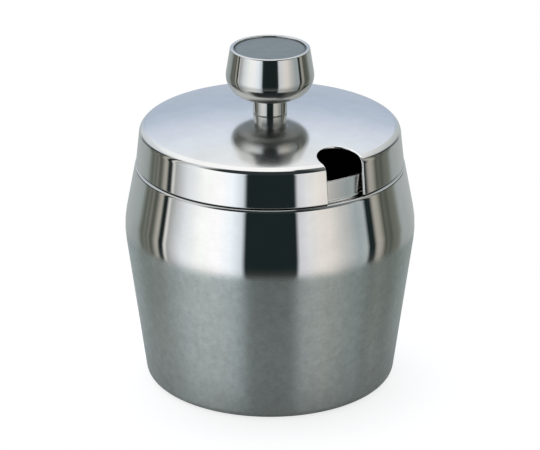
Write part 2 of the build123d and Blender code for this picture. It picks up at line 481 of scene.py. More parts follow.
def new_material(name):
    """An empty material, and the helper for its tree."""
    material = bpy.data.materials.new(name)
    material.use_nodes = True
    return material, Nodes(material.node_tree)


def place(nodes):
    """Object coordinates, as one vector and as x, y and z, and the distance from the axis."""
    vector = nodes.add("TexCoord").outputs["Object"]
    x, y, z = nodes.split(vector)
    flat = nodes.add("VectorMath", {0: nodes.join(x, y, 0.0)}, operation="LENGTH").outputs["Value"]
    return vector, x, y, z, flat


def turning_lines(nodes, x, y, z, flat, scales):
    """A fine pattern of lines round the axis: slow with the angle, quick with radius less height."""
    along, across = scales
    way = nodes.math("SUBTRACT", flat, z)
    vector = nodes.join(nodes.times(x, along), nodes.times(y, along), nodes.times(way, across))
    return nodes.noise(vector, 1.0, detail=3.0, roughness=0.6)


def steel(name, bright, dull, polish, gloss, satin, grain, anisotropic=0.0, streaks=0.3, speckle=0.1,
          bare=1.0, bare_at_foot=1.0, ledge_shade=0.0):
    """Steel that goes from a satin finish to a polished one where polish, a function of the nodes
    and the place, goes from 0 to 1. Satin and gloss are the roughness of the two, and grain is the
    height of the satin's lines. Turning lines, cloudy patches and specks vary the colour, the
    roughness and the surface, more on the satin than on the polish. Bare says how much of the
    satin is bare metal, with its own value near the table. A painted shade, a dark band in the
    colour, can darken the ledge under the lid."""
    material, nodes = new_material(name)
    vector, x, y, z, flat = place(nodes)
    share = polish(nodes, vector, z, flat)

    def by_finish(on_satin, on_polish):
        """A value that goes over with the finish."""
        return nodes.line(share, 0.0, 1.0, on_satin, on_polish)

    fine = turning_lines(nodes, x, y, z, flat, FINE_LINES)
    broad = turning_lines(nodes, x, y, z, flat, BROAD_LINES)
    cloud = nodes.noise(vector, CLOUD_SCALE, detail=3.0)
    specks = nodes.noise(vector, SPECK_SCALE, detail=4.0, roughness=0.85)
    # The satin end's colour carries painted shade where one is given, as for the body's satin, the knob's
    # underside and the cut edge's foot
    colour = nodes.mix(share, rgba(dull), rgba(bright))
    colour = nodes.shade(colour, streaks, nodes.swing(broad, *BROAD_LINES_LIGHT))
    colour = nodes.shade(colour, CLOUD_SHARE, nodes.swing(cloud, *CLOUD_LIGHT))
    colour = nodes.shade(colour, by_finish(speckle, speckle * SPECKLE_ON_POLISH),
                         nodes.swing(specks, *SPECK_LIGHT))
    # Painted shade on the ledge under the lid: a dark band mixed into the colour
    ledge = nodes.times(nodes.smooth(z, *LEDGE_SHADE_TOP), nodes.smooth(z, *LEDGE_SHADE_FOOT, 0.0, ledge_shade))
    colour = nodes.mix(ledge, colour, rgba(PAINTED_SEAM_SHADE))
    change = nodes.plus(nodes.math("SUBTRACT", fine, 0.5), nodes.math("SUBTRACT", cloud, 0.5))
    change = nodes.times(change, by_finish(*ROUGHNESS_CHANGE))
    lines = nodes.bump(nodes.times(fine, by_finish(grain, grain * GRAIN_ON_POLISH)))
    swell = nodes.noise(vector, WAVE_SCALE, detail=1.0)
    waves = nodes.bump(nodes.times(swell, WAVE_HEIGHT), lines)
    shader = nodes.add("BsdfPrincipled", {
        "Base Color": colour,
        "Metallic": by_finish(nodes.smooth(z, *BARE_BORDER, bare_at_foot, bare), 1.0),
        "Roughness": nodes.math("ADD", by_finish(satin, gloss), change, clamp=True),
        "Anisotropic": anisotropic,
        "Anisotropic Rotation": QUARTER_TURN,
        "Normal": waves,
        "Tangent": nodes.add("Tangent", direction_type="UV_MAP", uv_map="UVMap").outputs[0],
    })
    nodes.show("Material", shader.outputs[0])
    return material


def body_polish(nodes, vector, z, flat):
    """Polished from the belly's widest ring up to the rim, with an uneven lower border."""
    drift = nodes.math("SUBTRACT", nodes.noise(vector, BORDER_SCALE), 0.5)
    return nodes.smooth(nodes.plus(z, nodes.times(drift, BORDER_DRIFT)), *BODY_BORDER)


def lid_polish(nodes, vector, z, flat):
    """The crown is satin up to its edge, and the corner and skirt are polished."""
    start, end = CROWN_BORDER
    return nodes.smooth(flat, CROWN_RIM_RADIUS + start, CROWN_RIM_RADIUS + end)


def knob_polish(nodes, vector, z, flat):
    """Polished, but for the head's rounded underside, which is satin and darkened with painted shade."""
    return nodes.math("MAXIMUM", nodes.smooth(z, *UNDERSIDE_BORDER), nodes.smooth(flat, *STEM_BORDER))


def edge_polish_and_foot_shade(nodes, vector, z, flat):
    """Bright along the notch, and dark on the foot, where the sheet's edge stands in the seam: the dark on
    the foot is painted shade.
    """
    return nodes.smooth(z, *EDGE_BORDER)


def fully(nodes, vector, z, flat):
    """Polished all over, because every point is higher than half a metre under the table."""
    return nodes.smooth(z, -1.0, -0.5)


def never(nodes, vector, z, flat):
    """Satin all over, because every point is lower than a metre."""
    return nodes.smooth(z, 1.0, 2.0)


def disc_plastic():
    """Matt grey plastic: fine grain in the surface, a little mottling, and a painted shade that darkens
    its edge where it meets the head's recess.
    """
    material, nodes = new_material("disc_grey")
    vector, *_, flat = place(nodes)
    fine = nodes.noise(vector, DISC_GRAIN_SCALE, detail=3.0, roughness=0.7)
    soft = nodes.noise(vector, DISC_MOTTLE_SCALE)
    grey = nodes.mix(nodes.swing(soft, 0.0, 1.0), rgba(DISC_GREY), rgba(DISC_PALER_GREY))
    # Painted shade along the disc's edge
    edge = nodes.smooth(flat, *DISC_SHADE_BORDER)
    shader = nodes.add("BsdfPrincipled", {
        "Base Color": nodes.mix(edge, grey, rgba(DISC_EDGE_SHADE_GREY)),
        "Roughness": nodes.swing(fine, *DISC_ROUGHNESS),
        "Specular IOR Level": DISC_SHINE,
        "Normal": nodes.bump(nodes.times(fine, DISC_GRAIN_HEIGHT)),
    })
    nodes.show("Material", shader.outputs[0])
    return material


# The lid's outer line: crown arc, corner arc, straight skirt

CROWN_EDGE = SHOULDER_HEIGHT + LID_SKIRT_HEIGHT
CROWN_EDGE_RADIUS = LID_FOOT_RADIUS - LID_SKIRT_HEIGHT * tan(LID_SKIRT_LEAN)
CROWN_SPHERE = (CROWN_EDGE_RADIUS**2 + LID_CROWN**2) / (2 * LID_CROWN)
CROWN_CENTRE = CROWN_EDGE + LID_CROWN - CROWN_SPHERE


def corner_centre():
    """Where the corner's arc has its centre: one corner radius inside the skirt's line, and that
    much nearer than the sphere's radius to the sphere's centre. It solves the two for u, the way
    up the skirt's line from its foot."""
    up = np.array([-sin(LID_SKIRT_LEAN), cos(LID_SKIRT_LEAN)])
    inward = np.array([-cos(LID_SKIRT_LEAN), -sin(LID_SKIRT_LEAN)])
    start = np.array([LID_FOOT_RADIUS, SHOULDER_HEIGHT - CROWN_CENTRE]) + LID_CORNER * inward
    half = start @ up
    u = -half + sqrt(half**2 - start @ start + (CROWN_SPHERE - LID_CORNER) ** 2)
    return start + u * up + np.array([0, CROWN_CENTRE])


CORNER = corner_centre()
CROWN_RIM_TILT = atan2(CORNER[0], CORNER[1] - CROWN_CENTRE)
CROWN_RIM_RADIUS = CROWN_SPHERE * sin(CROWN_RIM_TILT)
SKIRT_TILT = pi / 2 - LID_SKIRT_LEAN
GRID_NOTCH = NOTCH_WIDTH / 2 + LID_EDGE_ROUND


def lid_line():
    """Radius, height and tilt from the vertical of the lid's outer face, from the screw's hole to
    just above the foot. Rings are closest beside the notch's round end, where they meet it at even
    steps round its arc."""
    apex = NOTCH_END_RADIUS - GRID_NOTCH
    round_end = np.linspace(0, pi / 2, NOTCH_RINGS)
    x = GRID_NOTCH * np.sin(round_end)
    y = NOTCH_END_RADIUS - GRID_NOTCH * np.cos(round_end)
    crown = np.concatenate([
        np.linspace(HOLE_RADIUS, apex, CROWN_RINGS)[:-1],
        np.hypot(x, y),
        np.linspace(np.hypot(x[-1], y[-1]), CROWN_RIM_RADIUS, RIM_RINGS)[1:],
    ])
    tilt = np.arcsin(crown / CROWN_SPHERE)
    height = CROWN_CENTRE + CROWN_SPHERE * np.cos(tilt)
    bend = np.linspace(CROWN_RIM_TILT, SKIRT_TILT, CORNER_RINGS)[1:]
    foot = SHOULDER_HEIGHT + LID_EDGE_ROUND + LID_WALL * sin(LID_SKIRT_LEAN)
    last = CORNER + LID_CORNER * np.array([sin(SKIRT_TILT), cos(SKIRT_TILT)])
    down = np.linspace(last[1], foot, SKIRT_RINGS)[1:]
    radius = np.concatenate([crown, CORNER[0] + LID_CORNER * np.sin(bend),
                             last[0] + (last[1] - down) * tan(LID_SKIRT_LEAN)])
    height = np.concatenate([height, CORNER[1] + LID_CORNER * np.cos(bend), down])
    tilt = np.concatenate([tilt, bend, np.full(len(down), SKIRT_TILT)])
    return radius, height, tilt


def notch_angle(radius):
    """Half the angle that the notch takes out of a ring: nothing inside its round end, the round
    end's arc where the ring crosses it, and beyond that its straight sides."""
    c, a = NOTCH_END_RADIUS, GRID_NOTCH
    y = (radius**2 + c**2 - a**2) / (2 * c)
    arc = np.arctan2(np.sqrt(np.clip(radius**2 - y**2, 0, None)), y)
    sides = np.arcsin(np.clip(a / radius, 0, 1))
    angle = np.where(radius < np.hypot(c, a) - SLACK, arc, sides)
    return np.where(radius <= c - a + SLACK, 0.0, angle)


def lid_patches():
    """The lid's two faces and the rounded edge that joins them. A ring runs from one side of the
    notch round to the other, and the inner face lies one wall under the outer along its normals.
    The edge follows the foot and the notch: a quarter arc, the wall and a quarter arc, set out
    along the face's normal and the way out of the sheet."""
    radius, height, tilt = lid_line()
    notch = notch_angle(radius)
    share = np.linspace(0, 1, LID_SEGMENTS + 1)
    angle = notch[:, None] + share * (2 * pi - 2 * notch[:, None])
    out = np.stack([np.sin(angle), -np.cos(angle)], -1)
    facing = np.concatenate([np.sin(tilt)[:, None, None] * out,
                             np.broadcast_to(np.cos(tilt)[:, None, None], (*angle.shape, 1))], -1)
    outer = np.concatenate([radius[:, None, None] * out,
                            np.broadcast_to(height[:, None, None], (*angle.shape, 1))], -1)
    inner = outer - LID_WALL * facing
    way = np.append(0, np.cumsum(np.hypot(np.diff(radius), np.diff(height))))
    sheet = np.stack(np.broadcast_arrays(angle / (2 * pi), way[:, None] * UV_SCALE), -1)
    patches = [
        {"points": outer, "facing": facing, "sheet": sheet, "material": 0},
        {"points": inner, "facing": -facing, "sheet": sheet, "material": 1},
    ]
    hole = np.stack([outer[0], inner[0]])
    inwards = np.broadcast_to(-np.concatenate([out[0], np.zeros((LID_SEGMENTS + 1, 1))], -1), hole.shape)
    hole_sheet = np.stack([sheet[0], sheet[0] + HOLE_UV_STEP])
    patches.append({"points": hole, "facing": inwards, "sheet": hole_sheet, "material": 1})
    patches.append(edge_patch(outer, facing, radius))
    return patches


def edge_patch(outer, facing, radius):
    """The rounded edge along the notch and the foot, as rows across the sheet's thickness."""
    first = int(np.searchsorted(radius, NOTCH_END_RADIUS - GRID_NOTCH - SLACK))
    ring = len(radius) - 1
    side_points = outer[first:, 0]
    side_facing = facing[first:, 0]
    to_centre = np.stack([-side_points[:, 0], -NOTCH_END_RADIUS - side_points[:, 1],
                          0 * side_points[:, 0]], -1)
    to_centre[side_points[:, 1] < -NOTCH_END_RADIUS + SLACK] = (-1, 0, 0)
    side_out = level_with(to_centre, side_facing)
    down = np.stack([-facing[ring, :, 2] * outer[ring, :, 0], -facing[ring, :, 2] * outer[ring, :, 1],
                     0 * outer[ring, :, 0]], -1)
    foot_out = level_with(np.array([0, 0, -1.0]) + 0 * down, facing[ring])
    turn = np.linspace(0, pi / 2, EDGE_FAN_POINTS)[:, None]
    corner_out = np.cos(turn) * side_out[-1] + np.sin(turn) * foot_out[0]
    side_run = np.concatenate([side_points, np.repeat(side_points[-1:], EDGE_FAN_POINTS, 0)])
    side_run_facing = np.concatenate([side_facing, np.repeat(side_facing[-1:], EDGE_FAN_POINTS, 0)])
    side_run_out = np.concatenate([side_out, corner_out])
    run = there_and_back(side_run, outer[ring])
    run_facing = there_and_back(side_run_facing, facing[ring])
    run_out = there_and_back(side_run_out, foot_out)
    run_out /= np.linalg.norm(run_out, axis=1)[:, None]
    quarter = np.linspace(0, pi / 2, EDGE_ARC_POINTS)
    lean = np.concatenate([quarter, quarter + pi / 2])
    depth = np.repeat([LID_EDGE_ROUND, LID_WALL - LID_EDGE_ROUND], len(quarter))
    normal = np.cos(lean)[:, None, None] * run_facing + np.sin(lean)[:, None, None] * run_out
    points = run - depth[:, None, None] * run_facing + LID_EDGE_ROUND * normal
    along = np.append(0, np.cumsum(np.linalg.norm(np.diff(run, axis=0), axis=1)))
    sheet = np.stack(np.broadcast_arrays(along * EDGE_UV_SCALE, depth[:, None] * UV_SCALE), -1)
    return {"points": points, "facing": normal, "sheet": sheet, "material": 2}


def there_and_back(side, ring):
    """One side of the notch, the foot's ring, and the other side: the first one mirrored in the
    notch's middle, x to -x, and taken backwards."""
    return np.concatenate([side, ring, side[::-1] * np.array([-1.0, 1, 1])])


def level_with(ways, facing):
    """The ways laid into the face: less their share along its normal, at length 1."""
    flat = ways - (ways * facing).sum(-1, keepdims=True) * facing
    return flat / np.linalg.norm(flat, axis=-1, keepdims=True)


# Pieces

def lathe(name, node, corners, rounds, segments, material, body, step=ARC_STEP):
    """A piece turned round the axis out of one closed line of straight runs and arcs."""
    patch = turned(*rounded_line(corners, rounds, step), segments)
    make_piece(name, [patch], [material], body, [node])


def body_line():
    """The body's whole section: outer line, rim, and the same line set in by the wall. The last
    value is how many of its rows have the outside's finish, which ends on the rim."""
    ring_outer = BASE_RADIUS - BASE_CORNER
    ring_inner = ring_outer - REST_RING_WIDTH
    corners = [
        (0, PANEL_RISE), (ring_inner - PANEL_SLOPE_WIDTH, PANEL_RISE), (ring_inner, 0),
        (BASE_RADIUS, 0), (BELLY_RADIUS, BELLY_HEIGHT), (SHOULDER_RADIUS, SHOULDER_HEIGHT),
        (NECK_RADIUS, SHOULDER_HEIGHT), (NECK_RADIUS, NECK_TOP),
    ]
    rounds = [PANEL_ROUND, PANEL_ROUND, BASE_CORNER, BELLY_ROUND, SHOULDER_ROUND, NECK_FOOT_ROUND]
    bends = [1, -1, 1, 1, 1, -1]
    rim = (BODY_WALL - EDGE_FLAT) / 2
    inner = set_in(corners, BODY_WALL)[::-1]
    inner_rounds = [r - b * BODY_WALL for r, b in zip(rounds, bends)][::-1]
    points, ways = rounded_line([*corners, *inner], [*rounds, rim, rim, *inner_rounds])
    return points, ways, len(rounded_line(corners, rounds)[0]) + RIM_ROWS_OUTSIDE


def pot_body():
    """The drawn body, polished above and satin below, with a satin inside."""
    points, ways, outside_rows = body_line()
    finish = np.where(np.arange(len(points) - 1) < outside_rows, 0, 1)
    patch = turned(points, ways, BODY_SEGMENTS, 1, finish)
    outside = steel("body_steel", BRIGHT_STEEL, SATIN_STEEL_AND_SHADE, body_polish, gloss=0.045, satin=0.36,
                    grain=0.000003, anisotropic=0.95, streaks=0.15, speckle=0.8, bare=0.70,
                    bare_at_foot=0.85, ledge_shade=0.55)
    inside = steel("inside_steel", BRIGHT_STEEL, INSIDE_STEEL, never, gloss=0.1, satin=0.36,
                   grain=0.000004, anisotropic=0.5)
    make_piece("pot_sheet", [patch], [outside, inside], "pot", ["pot_body"])


def lid_sheet():
    """The drawn lid with its notch: outer face, inner face and cut edge."""
    outside = steel("lid_steel", BRIGHT_STEEL, CROWN_STEEL, lid_polish, gloss=0.045, satin=0.14,
                    grain=0.0000004, streaks=0.1)
    inside = steel("lid_inside_steel", BRIGHT_STEEL, INSIDE_STEEL, never, gloss=0.1, satin=0.34,
                   grain=0.000003, anisotropic=0.5)
    edge = steel("cut_edge_steel", EDGE_STEEL_AND_HIGHLIGHT, PAINTED_SEAM_SHADE, edge_polish_and_foot_shade, gloss=0.1, satin=0.25,
                 grain=0.000001)
    make_piece("lid_sheet", lid_patches(), [outside, inside, edge], "lid", ["lid_shell"])


def knob_stem(metal):
    """The stem: a short rod with softened edges and the screw's hole down its middle."""
    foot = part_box("knob_stem")[0].z
    middle = (foot + HEAD_FOOT) / 2
    corners = [(HOLE_RADIUS, middle), (HOLE_RADIUS, foot), (STEM_RADIUS, foot),
               (STEM_RADIUS, HEAD_FOOT), (HOLE_RADIUS, HEAD_FOOT), (HOLE_RADIUS, middle)]
    rounds = [SMALL_ROUND, STEM_EDGE_ROUND, STEM_EDGE_ROUND, SMALL_ROUND]
    lathe("knob_stem_turned", "knob_stem", corners, rounds, STEM_SEGMENTS, metal, "lid")


def knob_head(metal):
    """The head: round below, a side that leans in, a rim, a ledge for the disc and a bore."""
    floor = HEAD_FOOT + HEAD_FLOOR
    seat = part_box("knob_disc")[0].z
    middle = (HEAD_FOOT + floor) / 2
    corners = [
        (HOLE_RADIUS, middle), (HOLE_RADIUS, HEAD_FOOT), (HEAD_FOOT_RADIUS, HEAD_FOOT),
        (HEAD_TOP_RADIUS, HEAD_TOP), (RECESS_RADIUS, HEAD_TOP), (RECESS_RADIUS, seat),
        (BORE_RADIUS, seat), (BORE_RADIUS, floor), (HOLE_RADIUS, floor), (HOLE_RADIUS, middle),
    ]
    rounds = [SMALL_ROUND, HEAD_FOOT_ROUND, HEAD_TOP_ROUND, HEAD_RECESS_ROUND, SMALL_ROUND,
              SMALL_ROUND, BORE_FOOT_ROUND, SMALL_ROUND]
    lathe("knob_head_turned", "knob_head", corners, rounds, HEAD_SEGMENTS, metal, "lid",
          HEAD_ARC_STEP)


def knob_disc():
    """The grey disc let into the head, with its upper edge softened."""
    low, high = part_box("knob_disc")
    corners = [(0, low.z), (DISC_RADIUS, low.z), (DISC_RADIUS, high.z), (0, high.z)]
    lathe("knob_disc_grey", "knob_disc", corners, [SMALL_ROUND, DISC_EDGE_ROUND], DISC_SEGMENTS,
          disc_plastic(), "lid")


def knob():
    """Stem, head and disc, the first two of one steel."""
    metal = steel("knob_steel", KNOB_STEEL, UNDERSIDE_STEEL_AND_SHADE, knob_polish, gloss=0.08, satin=0.34,
                  grain=0.0000004, streaks=0.15)
    knob_stem(metal)
    knob_head(metal)
    knob_disc()


def washer(name, node, metal):
    """A flat ring with softened edges."""
    low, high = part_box(node)
    middle = (low.z + high.z) / 2
    hole, outside = WASHER_HOLE_RADIUS, high.x
    corners = [(hole, middle), (hole, low.z), (outside, low.z), (outside, high.z), (hole, high.z),
               (hole, middle)]
    lathe(name, node, corners, [WASHER_ROUND] * 4, FIXING_SEGMENTS, metal, "lid_fixing")


def recess_slot(across, along):
    """1 in one slot of the cross recess and 0 outside it, with a short slope between the two."""
    sides = (RECESS_WIDTH / 2 - abs(across)) / RECESS_SIDE_SLOPE + 0.5
    ends = (RECESS_LENGTH / 2 - abs(along)) / RECESS_END_SLOPE + 0.5
    return np.clip(sides, 0, 1) * np.clip(ends, 0, 1)


def screw_line(top, foot, end):
    """The screw's section, with many rows on the head's face for the recess and on the shank for
    the thread. Foot is the head's."""
    corners = [(0, top), (SCREW_HEAD_RADIUS, top), (SCREW_HEAD_RADIUS, foot), (SCREW_RADIUS, foot),
               (SCREW_RADIUS, end), (0, end)]
    rounds = [SCREW_HEAD_ROUND, SMALL_ROUND, SMALL_ROUND, SCREW_END_ROUND]
    points, ways = rounded_line(corners, rounds, SCREW_ARC_STEP)
    face = np.linspace(0, points[1, 0], SCREW_FACE_ROWS)[:, None]
    points = np.concatenate([np.hstack([face, 0 * face + top]), points[2:]])
    ways = np.concatenate([np.repeat(ways[:1], SCREW_FACE_ROWS, 0), ways[2:]])
    on_shank = (points[:, 1] < foot - LEVEL_SLACK) & (points[:, 0] < SCREW_RADIUS + 2 * SMALL_ROUND)
    split = int(np.argmax(on_shank)) + 1
    shank = np.linspace(foot - SHANK_TOP_GAP, end + SHANK_END_GAP, SHANK_ROWS)[:, None]
    points = np.concatenate([points[:split], np.hstack([0 * shank + SCREW_RADIUS, shank]), points[split:]])
    ways = np.concatenate([ways[:split], np.repeat([[0.0, -1.0]], SHANK_ROWS, 0), ways[split:]])
    return points, ways


def screw(metal):
    """A turned screw. Its face is sunk where the cross recess is, and its shank's thread is the
    radius less a wave, one pitch long, that climbs once a turn."""
    low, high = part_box("fixing_screw")
    top, foot, end = high.z, high.z - SCREW_HEAD_HEIGHT, low.z
    patch = turned(*screw_line(top, foot, end), FIXING_SEGMENTS, -1)
    grid = patch["points"]
    x, y = grid[..., 0].copy(), grid[..., 1].copy()
    wide = np.hypot(x, y)
    cross = np.maximum(recess_slot(x, y), recess_slot(y, x))
    grid[..., 2] -= (grid[..., 2] > top - LEVEL_SLACK) * RECESS_DEPTH * cross
    height = grid[..., 2]
    phase = (height / THREAD_PITCH + np.arctan2(x, -y) / (2 * pi)) % 1
    groove = THREAD_DEPTH * np.clip(abs(2 * phase - 1) * THREAD_FLANK - THREAD_CREST, 0, 1)
    threaded = (height < foot - THREAD_TOP_GAP) & (height > end + THREAD_END_GAP)
    threaded &= wide > THREAD_LEAST_RADIUS
    grid[..., :2] *= np.where(threaded, 1 - groove / np.maximum(wide, SLACK), 1.0)[..., None]
    own_normals(make_piece("fixing_screw_threaded", [patch], [metal], "lid_fixing", ["fixing_screw"]))


def own_normals(piece):
    """Shading normals worked out from the faces, with sharp edges kept sharp."""
    mesh = piece.data
    mesh.attributes.remove(mesh.attributes["custom_normal"])
    mesh.set_sharp_from_angle(angle=SHARP_EDGE)


def cap_nut(metal):
    """A cap nut: a hexagon with soft edges, cut by a cone at its two ends, and a dome. The hexagon's
    radius at an angle is that of three pairs of flats joined by a high power mean."""
    low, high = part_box("cap_nut")
    seat, tip = high.z, low.z
    bore_end = seat - NUT_BORE_DEPTH
    hex_foot = seat - NUT_HEX_HEIGHT
    dome_height = hex_foot - tip
    sphere = (NUT_DOME_RADIUS**2 + dome_height**2) / (2 * dome_height)
    bow = np.linspace(0, asin(NUT_DOME_RADIUS / sphere), NUT_DOME_ROWS)
    dome = np.stack([sphere * np.sin(bow), tip + sphere * (1 - np.cos(bow))], -1)
    dome[-1, 1] = hex_foot - NUT_DOME_STEP
    corner = NUT_ACROSS_FLATS / sqrt(3)
    corners = np.array([
        (NUT_DOME_RADIUS + NUT_DOME_LEDGE, hex_foot), (corner - NUT_CHAMFER, hex_foot),
        (corner, hex_foot + NUT_CHAMFER_RISE), (corner, seat - NUT_CHAMFER_RISE),
        (corner - NUT_CHAMFER, seat), (NUT_BORE_RADIUS, seat), (NUT_BORE_RADIUS, bore_end),
        (0, bore_end),
    ])
    runs = [start + (end - start) * np.linspace(0, 1, count + 1)[1:, None]
            for start, end, count in zip(corners[:-1], corners[1:], NUT_RUN_ROWS)]
    line = np.concatenate([dome, corners[:1], *runs])
    ways = np.gradient(line, axis=0)
    ways /= np.linalg.norm(ways, axis=1)[:, None]
    patch = turned(line, ways, NUT_SEGMENTS)
    grid = patch["points"]
    angle = np.arctan2(grid[..., 0], -grid[..., 1])
    flats = sum(abs(np.cos(angle - k * pi / 3)) ** NUT_FLAT_POWER for k in range(3))
    limit = NUT_ACROSS_FLATS / 2 * flats ** (-1 / NUT_FLAT_POWER)
    wide = np.hypot(grid[..., 0], grid[..., 1])
    grid[..., :2] *= np.minimum(1, limit / np.maximum(wide, SLACK))[..., None]
    own_normals(make_piece("cap_nut_domed", [patch], [metal], "lid_fixing", ["cap_nut"]))


def fixing():
    """The screw, its two washers and the cap nut, all of one plain steel."""
    metal = steel("fixing_steel", TURNED_STEEL, DULL_STEEL, fully, gloss=0.22, satin=0.3, grain=0.000002)
    screw(metal)
    washer("washer_under_screw", "head_washer", metal)
    washer("washer_under_lid", "lid_washer", metal)
    cap_nut(metal)


# Studio, floor and camera

# Colours by the angle from the camera's direction, in degrees, on the left and on the right
BACK = (0.41, 0.47, 0.48)
RIGHT_BACK = (0.445, 0.495, 0.505)
BROWN = (0.15, 0.165, 0.145)
TAN = (0.52, 0.51, 0.47)
GAP = (0.016, 0.026, 0.027)
ROUND_THE_LEFT = [
    (0, GAP), (18.8, GAP), (22.3, (0.86, 0.96, 1.06)), (31, (1.24, 1.34, 1.45)),
    (42, (1.42, 1.42, 1.49)), (56, (1.34, 1.40, 1.41)), (72, (1.02, 1.08, 1.15)),
    (86.5, (0.50, 0.52, 0.53)), (89.6, (0.96, 0.96, 0.95)), (92.2, GAP), (95.4, GAP), (98.0, TAN),
    (99.5, TAN), (101.6, (0.40, 0.395, 0.36)), (104.3, BROWN), (107.0, (0.11, 0.115, 0.10)),
    (109.9, (0.25, 0.255, 0.23)), (112.8, BROWN), (115.9, (0.215, 0.225, 0.205)),
    (119.2, (0.135, 0.155, 0.135)), (122.7, (0.23, 0.26, 0.24)), (126.4, (0.37, 0.42, 0.42)),
    (131, BACK), (180, BACK),
]
ROUND_THE_RIGHT = [
    (0, GAP), (20.2, GAP), (23.2, (0.85, 0.88, 0.94)), (31, (1.02, 1.03, 1.08)),
    (39, (1.09, 1.06, 1.03)), (48, (1.03, 0.99, 0.95)), (58, (0.75, 0.75, 0.745)),
    (73, (0.46, 0.53, 0.56)), (80.3, (0.52, 0.58, 0.60)), (83.6, GAP), (88.2, GAP),
    (91.2, (0.42, 0.41, 0.38)), (93.2, (0.52, 0.51, 0.465)), (96.6, (0.46, 0.45, 0.405)),
    (99.4, (0.27, 0.275, 0.24)), (101.8, (0.105, 0.115, 0.095)), (105, BROWN),
    (109.4, (0.11, 0.12, 0.10)), (113, (0.17, 0.185, 0.16)), (118.5, (0.19, 0.21, 0.18)),
    (122, (0.25, 0.275, 0.25)), (125.5, (0.39, 0.43, 0.43)), (129.5, RIGHT_BACK),
    (180, RIGHT_BACK),
]
# Colours of the light overhead, by height: that of a direction on a ball of radius 1
UP_THE_BACK = [
    (0.0, (0.48, 0.57, 0.72)), (0.235, (0.55, 0.64, 0.80)), (0.32, (0.65, 0.75, 0.91)),
    (0.385, (0.78, 0.86, 1.03)), (0.43, (0.87, 0.94, 1.10)), (0.54, (1.00, 1.09, 1.20)),
    (0.625, (1.07, 1.11, 1.17)), (0.75, (1.30, 1.31, 1.34)), (0.9, (1.38, 1.38, 1.40)),
    (1.0, (1.30, 1.30, 1.32)),
]
UP_THE_LEFT = [
    (0.0, (0.70, 0.76, 0.84)), (0.45, (0.86, 0.92, 1.00)), (0.6, (1.12, 1.17, 1.22)),
    (0.75, (1.26, 1.30, 1.34)), (0.9, (1.34, 1.36, 1.40)), (1.0, (1.34, 1.36, 1.40)),
]
UP_THE_RIGHT = [
    (0.0, (0.54, 0.60, 0.61)), (0.35, (0.66, 0.72, 0.74)), (0.6, (0.82, 0.86, 0.88)),
    (0.93, (1.30, 1.32, 1.36)), (1.0, (1.34, 1.36, 1.40)),
]
DARK_ROOM = (0.035, 0.045, 0.05)
GREY_ROOM = (0.20, 0.22, 0.22)
TABLE = (0.20, 0.215, 0.205)
WHITE = (1.0, 1.0, 1.0)

# Where the studio's parts come in or go out, as pairs. Angles go round the pot from the camera's
# side, to the right for the room and the raised lamp and to both sides for the rest. Heights,
# depths away from the camera, and the places across where left and right meet are those of a
# direction on a ball of radius 1. Reach is the height plus a share of the depth, so that a limit in
# reach slants down towards the back
BOARDS_MEET = (-0.02, 0.02)
LAMPS_MEET = (-0.2, 0.2)
TABLE_HEIGHTS = (-0.15, -0.62)
TABLE_SHARE = 0.66
ROOM_LEFT_END = (radians(-80), radians(-50))
ROOM_RIGHT_END = (radians(105), radians(80))
ROOM_HEIGHTS = (0.41, 0.45)
GREY_ROOM_START = (radians(40), radians(62))
REACH_BACK = 0.81
SHADE_START = (radians(98), radians(112))
SHADE_END = (radians(152), radians(140))
SHADE_REACH = (0.40, 0.52)
SHADE_SHARE = 0.85
BACK_LAMP_START = (radians(150), radians(166))
LAMP_TURN = (radians(120), radians(165))
LAMP_FOOT = (0.61, 0.47)
LAMP_FULL = (0.69, 0.84)
RAISED_START = (radians(30), radians(60))
RAISED_END = (radians(115), radians(85))
RAISED_BY = 0.22
BACKGROUND_DEPTH = (0.5, 0.9)
BACKGROUND_HEIGHTS = (0.3, 0.0)
BACKGROUND_IN_METAL = 0.15


def by_turn(stops):
    """Stops in degrees as shares of half a turn, which is what a ramp takes."""
    return [(angle / 180, colour) for angle, colour in stops]


